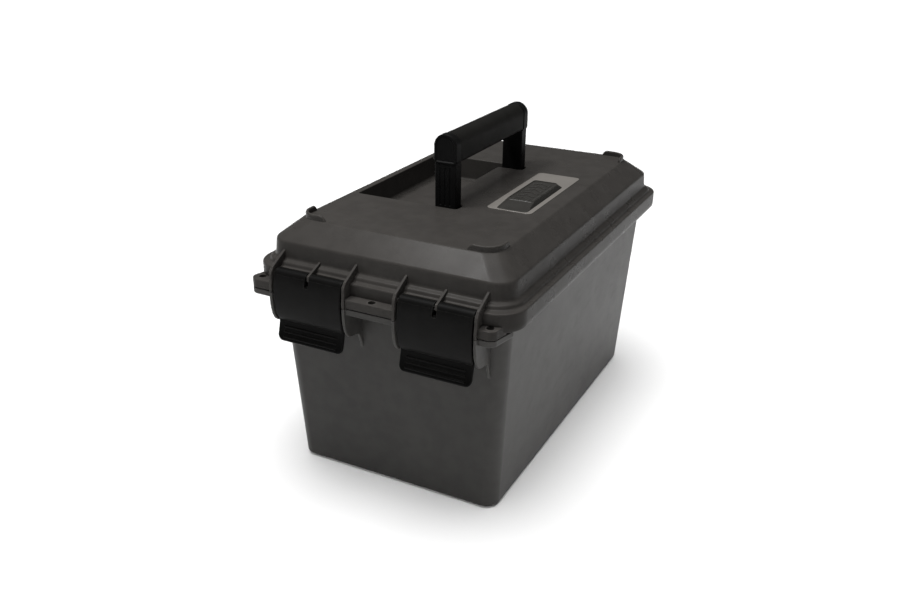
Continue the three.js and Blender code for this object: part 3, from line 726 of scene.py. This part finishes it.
def pocket_cutter():
    """The hollow for the folded handle: filleted floor, upright walls, rounded rim."""
    fillet, rim, steps = 2.4, 1.0, 5
    quarter = [math.pi / 2 * k / steps for k in range(steps + 1)]
    stations = [(POCKET_FLOOR_Z + fillet * (1 - math.cos(t)), -fillet * (1 - math.sin(t))) for t in quarter]
    stations += [(PLATE_Z - rim + rim * math.sin(t), rim * (1 - math.cos(t))) for t in quarter]
    stations.append((PLATE_Z + 12, rim))
    rings = []
    for level, growth in stations:
        rings.append([(p.x, p.y, level) for p in rounded(POCKET, POCKET_RADIUS, growth)])
    return skin(rings)


def stacking_ridge(sx, sy):
    """Ridge round one corner of the lid top: a slow rise along the end, then round the corner and
    part of the way along the side, where it ends in a short slope."""
    half = RIDGE_WIDTH / 2
    top = RIDGE_TOP_Z - PLATE_Z
    base = grown(PLATE, -0.2 - half)
    end_leg, side_leg = RIDGE_ON_END - base.z, RIDGE_ON_SIDE - base.z
    centre = Vector((base.x - base.z, base.y - base.z))
    route = [Vector((centre.x - end_leg * (1 - k / 16), base.y)) for k in range(16)]
    route += [centre + base.z * Vector((math.sin(t), math.cos(t))) for t in
              (math.pi / 2 * k / 10 for k in range(11))]
    route += [Vector((base.x, centre.y - side_leg * k / 8)) for k in range(1, 9)]
    lengths = [0.0]
    for a, b in zip(route, route[1:]):
        lengths.append(lengths[-1] + (b - a).length)
    rings = []
    for i, point in enumerate(route):
        ahead = route[min(i + 1, len(route) - 1)] - route[max(i - 1, 0)]
        across = Vector((ahead.y, -ahead.x)).normalized()
        rise = min(1.0, lengths[i] / RIDGE_RISE)
        fall = min(1.0, (lengths[-1] - lengths[i]) / RIDGE_FALL)
        height = top * min(rise * (2 - rise), math.sqrt(max(fall, 0.1))) + 0.02
        spring = max(height - half, -RIDGE_ROOT + 0.1)
        profile = [(-half, -RIDGE_ROOT), (half, -RIDGE_ROOT)]
        for k in range(7):
            t = math.pi * k / 6
            profile.append((half * math.cos(t), spring + (height - spring) * math.sin(t)))
        rings.append([(sx * (point.x + across.x * u), sy * (point.y + across.y * u), PLATE_Z + v)
                      for u, v in profile])
    return skin(rings)


def rib_outline():
    wall_y = -WALL_LOW.y + 2
    barrel_y = LATCH_PIN.y - BARREL_RADIUS
    return [
        (wall_y, RIB_TOP_Z),
        (wall_y, WALL_LOW_Z),
        (-CHANNEL_OUTER.y - 2, BAND_TOP_Z),
        (-CHANNEL_OUTER.y - 2, LID_BOTTOM_Z),
        (-FLANGE.y, LID_BOTTOM_Z),
        (-FLANGE.y, LID_SHELF[0]),
        (FRONT_Y, LID_SHELF[0]),
        (FRONT_Y, LID_BOTTOM_Z),
        (FRONT_Y + 0.8, BAND_TOP_Z - 7),
        (barrel_y - 1.4, BAND_TOP_Z - 1),
        (barrel_y + 1.6, BAND_TOP_Z + 3),
    ][::-1]


def middle_rib_outline():
    return [
        (-WALL_LOW.y + 2, MIDDLE_RIB_TOP_Z),
        (-WALL_LOW.y + 2, WALL_LOW_Z - 2),
        (RECESS_Y + 1, BAND_TOP_Z - 1),
        (RECESS_Y + 1, BAND_TOP_Z - 8.4),
        (LATCH_PIN.y, BAND_TOP_Z - 6.4),
        (LATCH_PIN.y - 3.6, BAND_TOP_Z - 3),
        (LATCH_PIN.y - 3, BAND_TOP_Z + 1),
    ][::-1]


def lid_ribs():
    ribs = []
    half = RIB_THICKNESS / 2
    radii = [1.5, 3.5, 3.5, 2.0] + [0.3] * 7
    for _, side in SIDES:
        for x in RIB_X:
            ribs.append(slab(rib_outline(), radii, side * x - half, side * x + half, 0.6, along_x, 4))
        x = side * LATCH_CENTRE_X
        low, high = x - MIDDLE_RIB_HALF, x + MIDDLE_RIB_HALF
        ribs.append(slab(middle_rib_outline(), 0.8, low, high, 0.5, along_x, 3))
    return ribs


def latch_recesses():
    recesses = []
    for _, side in SIDES:
        x = side * LATCH_CENTRE_X
        half = LATCH_HALF + RECESS_SIDE_GAP
        low, high = SKIRT_BOTTOM_Z - 2, WALL_LOW_Z
        recesses.append(cuboid(x - half, x + half, -BAND.y - 3, RECESS_Y, low, high, 0.6, 0.4))
    return recesses


def lid_ear(place):
    """Ear trimmed to stay out of the seal channel."""
    channel = loft([at(LID_BOTTOM_Z, CHANNEL_OUTER, 0.4), at(BAND_TOP_Z, CHANNEL_OUTER, 0.4)])
    return cut(ear(place, LID_SHELF), [channel])


def lid_hinges():
    arm = [
        (HINGE.y - 2, HINGE.z),
        (-FRONT_Y, HINGE.z),
        (-FRONT_Y, HINGE.z + 8),
        (BAND.y - 1, BAND_TOP_Z - 2),
        (BAND.y - 1, LID_BOTTOM_Z),
        (HINGE.y - 2, LID_BOTTOM_Z),
    ]
    parts = []
    for _, side in SIDES:
        x0 = side * HINGE_CENTRE_X - LID_KNUCKLE / 2
        x1 = x0 + LID_KNUCKLE
        parts += [slab(arm, [0.3, 0.3, 4.0, 2.5, 0.3, 0.3], x0, x1, 0.5, along_x, 4), knuckle(x0, x1)]
    return parts


def latch_pin_bore(side):
    x = side * LATCH_CENTRE_X
    half = LATCH_PIN_HALF + GAP
    return bore(LATCH_PIN.y, LATCH_PIN.z, x - half, x + half, LATCH_PIN_RADIUS + GAP, along_x)


def handle_bores():
    bores = []
    for _, end in ENDS:
        low, high = end * POST_MIDDLE_Y - HANDLE_BORE_HALF, end * POST_MIDDLE_Y + HANDLE_BORE_HALF
        bores.append(bore(PIVOT.x, PIVOT.z, low, high, HANDLE_PIN_RADIUS + GAP, along_y))
    return bores


def make_lid():
    lid = cut(lid_shell(), latch_recesses())
    parts = [pocket_walls(), *lid_ribs(), *lid_hinges(), shelf(LID_SHELF, -BAND.y + 3)]
    parts += [lid_ear(place) for place in EARS]
    parts += [stacking_ridge(sx, sy) for sx in (-1, 1) for sy in (-1, 1)]
    join(lid, parts)
    flange_room = loft([at(SKIRT_BOTTOM_Z - 4, FLANGE, SKIRT_GAP), at(LID_BOTTOM_Z, FLANGE, SKIRT_GAP)])
    cut(lid, [flange_room, pocket_cutter(), *handle_bores(), *front_holes(), *hinge_bores(),
              *(latch_pin_bore(side) for _, side in SIDES)])
    finished(lid, "lid_moulding", "lid", LID_PLASTIC, ["lid"])


# ---- badge on the lid: a plain raised panel and a wedge with a tread pattern ----
def frame_line(corners, radius, inset, width, low, high):
    """Raised line that follows an outline."""
    rings = []
    for growth, level in ((-inset, low), (-inset, high), (-inset - width, high), (-inset - width, low)):
        rings.append([(p.x, p.y, level) for p in rounded(corners, radius, growth)])
    return skin(rings, closed=True)


def make_badge():
    panel = slab(tray(PANEL_X, PANEL_Y), 4.0, PLATE_Z - 1, PLATE_Z + 0.5, 0.3, along_z)
    base = rounded(tray(BADGE_X, BADGE_Y), 3.5)
    top = rounded(tray(BADGE_TOP_X, BADGE_TOP_Y), 4.0)
    crown = rounded(tray(BADGE_TOP_X, BADGE_TOP_Y), 4.0, -0.5)
    levels = ((base, -0.6), (base, 0.6), (top, BADGE_TOP_Z - 0.5), (crown, BADGE_TOP_Z))
    wedge = skin([[(p.x, p.y, PLATE_Z + z) for p in ring] for ring, z in levels])
    finished(panel, "lid_badge_panel", "lid", PANEL_TONE_AND_SHEEN)
    finished(wedge, "lid_badge_boss", "lid", BADGE_PLASTIC)


def make_badge_tread():
    """One frame line and two rows of slanted bars on top of the wedge."""
    low, high = PLATE_Z + BADGE_TOP_Z - 0.3, PLATE_Z + BADGE_TOP_Z + 0.45
    corners = tray(BADGE_TOP_X, BADGE_TOP_Y)
    parts = [frame_line(corners, 4.0, 0.9, 0.6, low, high)]
    rows, bars = 2, 6
    inner_x = (BADGE_TOP_X[0] + 3.6, BADGE_TOP_X[1] - 3.6)
    inner_y = (BADGE_TOP_Y[0] + 4.0, BADGE_TOP_Y[1] - 4.0)
    row_width = (inner_x[1] - inner_x[0]) / rows
    pitch = (inner_y[1] - inner_y[0]) / bars
    for row in range(rows):
        x0 = inner_x[0] + row * row_width + 0.6
        x1 = x0 + row_width - 1.2
        for bar in range(bars):
            y0 = inner_y[0] + bar * pitch + 0.6
            y1 = y0 + pitch * 0.5
            slant = pitch * 0.3 * (1 if row else -1)
            outline = [(x0, y0 + slant), (x1, y0 - slant), (x1, y1 - slant), (x0, y1 + slant)]
            parts.append(slab(outline, 0.8, low, high, 0.2, along_z, 3))
    tread = join(parts[0], parts[1:])
    finished(tread, "lid_badge_tread", "lid", BADGE_PLASTIC)


# ---- seal ----
def make_seal():
    low, high = SEAL_LOW.z, SEAL_HIGH.z
    outer, inner = grown(CHANNEL_OUTER, -GAP), grown(CHANNEL_INNER, GAP)
    middle = outer.lerp(inner, 0.5)
    swell = [(low, middle), (low + 0.7, outer), (high - 0.8, outer), (high, outer.lerp(inner, 0.2)),
             (high, outer.lerp(inner, 0.8)), (high - 0.8, inner), (low + 0.7, inner)]
    seal = skin([level_ring(at(z, base)) for z, base in swell], closed=True)
    finished(seal, "seal_ring", "lid", RUBBER, ["lid_seal"])


# ---- latches ----
def strip(path, half_widths, halves, x):
    """Plate along a (y, z) path, with rounded long edges: half width and half thickness at each point."""
    rings = []
    for i, point in enumerate(path):
        ahead = (path[min(i + 1, len(path) - 1)] - path[max(i - 1, 0)]).normalized()
        across = Vector((ahead.y, -ahead.x))
        half_width, half = half_widths[i], halves[i]
        section = rounded(rectangle(half_width, half), min(half * 0.9, 1.1), 0, 4)
        rings.append([(x + p.x, point.x + across.x * p.y, point.y + across.y * p.y) for p in section])
    return skin(rings)


def latch_plate(x):
    half = 1.5
    barrel_y = LATCH_PIN.y - BARREL_RADIUS
    bulge_y = barrel_y - 3.2
    front = bezier([(barrel_y, LATCH_PIN.z + 1), (bulge_y, 164), (bulge_y, 148), (TOE_Y, TOE_Z)], 22)
    path = [Vector((p.x + half, p.y)) for p in front]
    narrowing = [max(0.0, (i - 14) / 8) for i in range(len(path))]
    widths = [LATCH_HALF - 0.9 * t * t for t in narrowing]
    halves = [half] * len(path)
    for back, share in ((1, 0.45), (2, 0.8), (3, 0.95)):
        halves[-back] = half * share
        widths[-back] -= half * (1 - share)
    return strip(path, widths, halves, x)


def tab_bend(t):
    """Front face of the pull tab from its root (t = 0) to its lip (t = 1)."""
    return Vector((TAB_ROOT_Y - TAB_LEAN * t ** 1.5, TAB_ROOT_Z - t * (TAB_ROOT_Z - TAB_BOTTOM_Z)))


def latch_tab(x):
    half, corner, count = 1.25, 5.0, 24
    half_width = LATCH_HALF - TAB_INSET
    path, widths, halves = [], [], []
    for k in range(count + 1):
        t = 1 - (1 - k / count) ** 1.6
        face = tab_bend(t)
        to_lip = face.y - TAB_BOTTOM_Z
        short = max(0.0, 1 - to_lip / corner)
        width = half_width - corner * (1 - math.sqrt(max(1 - short * short, 0.0)))
        edge = max(0.0, 1 - to_lip / half)
        path.append(face + Vector((half, 0)))
        widths.append(width - TAB_INSET)
        halves.append(half * math.sqrt(max(1 - edge * edge, 0.06)))
    return strip(path, widths, halves, x)


def tab_ridges(x):
    ridges = []
    for t in (0.42, 0.62, 0.82):
        face = tab_bend(t)
        half = LATCH_HALF - TAB_RIDGE_INSET
        ridges.append(rod(face.x + 0.2, face.y, x - half, x + half, 0.95, along_x, 0.85, 4))
    return ridges


def make_latch(name, side):
    x = side * LATCH_CENTRE_X
    x0, x1 = x - LATCH_HALF, x + LATCH_HALF
    barrel = rod(LATCH_PIN.y, LATCH_PIN.z, x0, x1, BARREL_RADIUS, along_x, 0.8, 10)
    hook = [(TOE_Y - 1, 150.5), (CATCH_FRONT_Y - GAP, 154.6), (CATCH_FRONT_Y - GAP, 157), (TOE_Y - 1, 158)]
    hook_body = slab(hook[::-1], 0.5, x0 + 3, x1 - 3, 0.5, along_x, 3)
    latch = join(barrel, [latch_plate(x), hook_body])
    notch = cuboid(x - NOTCH_HALF_WIDTH, x + NOTCH_HALF_WIDTH, FRONT_Y - 2, RECESS_Y + 2,
                   LATCH_PIN.z - NOTCH_BELOW, LATCH_PIN.z + NOTCH_ABOVE, 1.0, 1.0)
    cut(latch, [latch_pin_bore(side), notch])
    finished(latch, f"latch_{name}_moulding", f"latch_{name}", LATCH_PLASTIC, [f"latch_{name}"])
    tab = join(latch_tab(x), tab_ridges(x))
    finished(tab, f"latch_{name}_tab", f"latch_{name}", TAB_PLASTIC)


# ---- handle ----
def head_outline():
    """Flat-bottomed outline with a round top, in (x, z)."""
    half = HEAD_HALF_WIDTH
    corners = tray((PIVOT.x - half, PIVOT.x + half), (HEAD_BOTTOM_Z, HANDLE_TOP_Z))
    return corners, [3.0, 3.0, half - 0.2, half - 0.2]


def post_outline():
    """Upright with a round foot about the pivot, running up into the head, in (x, z)."""
    half = POST_HALF_WIDTH
    corners = tray((PIVOT.x - half, PIVOT.x + half), (PIVOT.z - half, HEAD_BOTTOM_Z + 4))
    return corners, [half - 0.1, half - 0.1, 0.5, 0.5]


def span(end, a, b):
    """Two distances from the middle as limits in y, at the front or rear end."""
    return sorted((end * a, end * b))


def make_post(name, end):
    corners, radii = post_outline()
    post = slab(corners, radii, *span(end, POST_INNER_Y, POST_OUTER_Y), 0.9, along_y, 10)
    clear = slab(tray((PIVOT.x - 20, PIVOT.x + 20), (HEAD_BOTTOM_Z - GAP, HANDLE_TOP_Z + 5)), 0.4,
                 *span(end, HEAD_INNER_Y - 12, HEAD_INNER_Y), 0.1, along_y, 2)
    cut(post, [clear])
    corners, radii = head_outline()
    join(post, [slab(corners, radii, *span(end, HEAD_INNER_Y, HEAD_OUTER_Y), 0.9, along_y, 12)])
    face = skin([
        [along_y(p.x, p.y, level) for p in rounded(corners, radii, growth, 12)]
        for level, growth in ((end * (HEAD_OUTER_Y - 0.7), -2.2), (end * (HEAD_OUTER_Y + 0.1), -1.5))
    ])
    flutes = []
    for x in (PIVOT.x - FLUTE_PITCH, PIVOT.x, PIVOT.x + FLUTE_PITCH):
        outline = tray((x - FLUTE_HALF_WIDTH, x + FLUTE_HALF_WIDTH), (PLATE_Z + 1, HEAD_BOTTOM_Z - 2.5))
        flutes.append(slab(outline, 1.0, *span(end, POST_OUTER_Y - 0.5, POST_OUTER_Y + 1), 0.5, along_y, 4))
    low, high = span(end, CORE_RADIUS + 1, HEAD_OUTER_Y - 2.5 + GAP)
    socket = bore(PIVOT.x, CORE_Z, low, high, CORE_RADIUS + GAP, along_y)
    cut(post, [face, *flutes, socket, *handle_bores()])
    finished(post, f"post_{name}_moulding", "handle", POST_PLASTIC, [f"handle_post_{name}"])


def make_grip():
    corners, radii = head_outline()
    rings = []
    for level, growth in edge_levels(GRIP_LOW.y, GRIP_HIGH.y, 0.5):
        rings.append([along_y(p.x, p.y, level) for p in rounded(corners, radii, growth - 0.4, 12)])
    grip = skin(rings)
    cut(grip, [bore(PIVOT.x, CORE_Z, GRIP_LOW.y - 1, GRIP_HIGH.y + 1, CORE_RADIUS + GAP, along_y)])
    finished(grip, "grip_moulding", "handle", GRIP_PLASTIC, ["handle_grip"])


# ---- pins and core bar ----
def make_pins():
    for name, _ in SIDES:
        low, high = box_mm(f"latch_pin_{name}")
        pin = rod(LATCH_PIN.y, LATCH_PIN.z, low.x, high.x, LATCH_PIN_RADIUS, along_x, 0.4)
        finished(pin, f"latch_wire_{name}", "lid", STEEL, [f"latch_pin_{name}"])
        low, high = box_mm(f"hinge_pin_{name}")
        pin = rod(HINGE.y, HINGE.z, low.x, high.x, HINGE_PIN_RADIUS, along_x, 0.4)
        finished(pin, f"hinge_wire_{name}", "tub", STEEL, [f"hinge_pin_{name}"])
    for name, end in ENDS:
        low, high = box_mm(f"handle_pin_{name}")
        pin = rod(PIVOT.x, PIVOT.z, low.y, high.y, HANDLE_PIN_RADIUS, along_y, 0.5)
        finished(pin, f"pivot_stub_{name}", "lid", STEEL, [f"handle_pin_{name}"])
    low, high = box_mm("handle_core_bar")
    bar = rod(PIVOT.x, CORE_Z, low.y, high.y, CORE_RADIUS, along_y, 0.8)
    finished(bar, "grip_bar", "handle", STEEL, ["handle_core_bar"])


# ---- floor, light and camera ----
def make_floor():
    half = 8.0
    mesh = bpy.data.meshes.new("floor")
    corners = [(x, y, 0) for x, y in tray((-half, half), (-half, half))]
    mesh.from_pydata(corners, [], [(0, 1, 2, 3)])
    floor = bpy.data.objects.new("floor", mesh)
    bpy.context.scene.collection.objects.link(floor)
    nodes = Nodes("studio floor")
    drift = nodes.ramp(nodes.noise(1.2, 2), 0.3, 0.7)
    nodes.link(nodes.mix(drift, (0.86, 0.86, 0.86), (0.90, 0.90, 0.90)), nodes.shader.inputs["Base Color"])
    nodes.shader.inputs["Roughness"].default_value = 0.75
    nodes.shader.inputs["Specular IOR Level"].default_value = 0.2
    mesh.materials.append(nodes.material)


def area_light(name, place, target, size, watts):
    light = bpy.data.lights.new(name, "AREA")
    light.shape = "RECTANGLE"
    light.size, light.size_y = size
    light.energy = watts
    lamp = bpy.data.objects.new(name, light)
    bpy.context.scene.collection.objects.link(lamp)
    lamp.location = place
    lamp.rotation_euler = (Vector(target) - Vector(place)).to_track_quat("-Z", "Y").to_euler()
    return lamp


def sun_light(name, direction, energy, angle):
    light = bpy.data.lights.new(name, "SUN")
    light.energy = energy
    light.angle = math.radians(angle)
    lamp = bpy.data.objects.new(name, light)
    bpy.context.scene.collection.objects.link(lamp)
    lamp.rotation_euler = Vector(direction).to_track_quat("-Z", "Y").to_euler()
    return lamp


def shine_only_on(lamp, names):
    """Light linking: the lamp reaches, and is blocked by, the named pieces only."""
    group = bpy.data.collections.new(lamp.name + " receivers")
    for name in names:
        group.objects.link(bpy.data.objects[name])
    lamp.light_linking.receiver_collection = group
    lamp.light_linking.blocker_collection = group


def make_lights():
    """A sun and a softbox for everything, then a lamp for the floor, one for the tub and one for the
    lid and handle."""
    sun_light("overhead sun", (0.05, -0.02, -1), 3.4, 50)
    wash = sun_light("floor wash", (0, 0, -1), 0.5, 20)
    shine_only_on(wash, ["floor"])
    area_light("softbox", (0.10, -0.60, 1.20), (0.0, -0.15, 0.2), (0.5, 0.4), 2.5)
    fill = area_light("tub fill", (1.1, -0.35, 0.15), (0.1, 0, 0.08), (1.2, 0.4), 2.9)
    shine_only_on(fill, ["tub_moulding"])
    sheen = area_light("lid sheen", (-0.32, -0.37, 1.15), (0.0, -0.1, 0.2), (0.20, 0.20), 7.0)
    shine_only_on(sheen, ["lid_moulding", "lid_badge_panel", "lid_badge_boss", "lid_badge_tread",
                          "grip_moulding", "post_front_moulding", "post_rear_moulding"])
    world = bpy.data.worlds.new("studio")
    bpy.context.scene.world = world
    world.use_nodes = True
    background = world.node_tree.nodes["Background"]
    background.inputs["Color"].default_value = (1.0, 0.99, 0.97, 1)
    background.inputs["Strength"].default_value = 0.08
    bpy.context.scene.view_settings.view_transform = "Standard"


def make_camera():
    """View from the latch end, a little to the right and above."""
    azimuth, elevation, roll = math.radians(26.92), math.radians(24.15), math.radians(0.60)
    back = Vector((math.sin(azimuth) * math.cos(elevation), -math.cos(azimuth) * math.cos(elevation),
                   math.sin(elevation)))
    right = (-back).cross(Vector((0, 0, 1))).normalized()
    up = right.cross(-back)
    right, up = math.cos(roll) * right + math.sin(roll) * up, math.cos(roll) * up - math.sin(roll) * right
    place = Matrix((right, up, back)).transposed().to_4x4()
    place.translation = Vector((0.32518, -0.68551, 0.43461))
    camera = bpy.data.objects.new("camera", bpy.data.cameras.new("camera"))
    bpy.context.scene.collection.objects.link(camera)
    camera.matrix_world = place
    camera.data.sensor_width = 36
    camera.data.lens = 36.905
    camera.data.shift_x = -0.0008
    bpy.context.scene.camera = camera


make_camera()
make_tub()
make_lid()
make_badge()
make_badge_tread()
make_seal()
for latch_name, latch_side in SIDES:
    make_latch(latch_name, latch_side)
for post_name, post_end in ENDS:
    make_post(post_name, post_end)
make_grip()
make_pins()
make_floor()
make_lights()
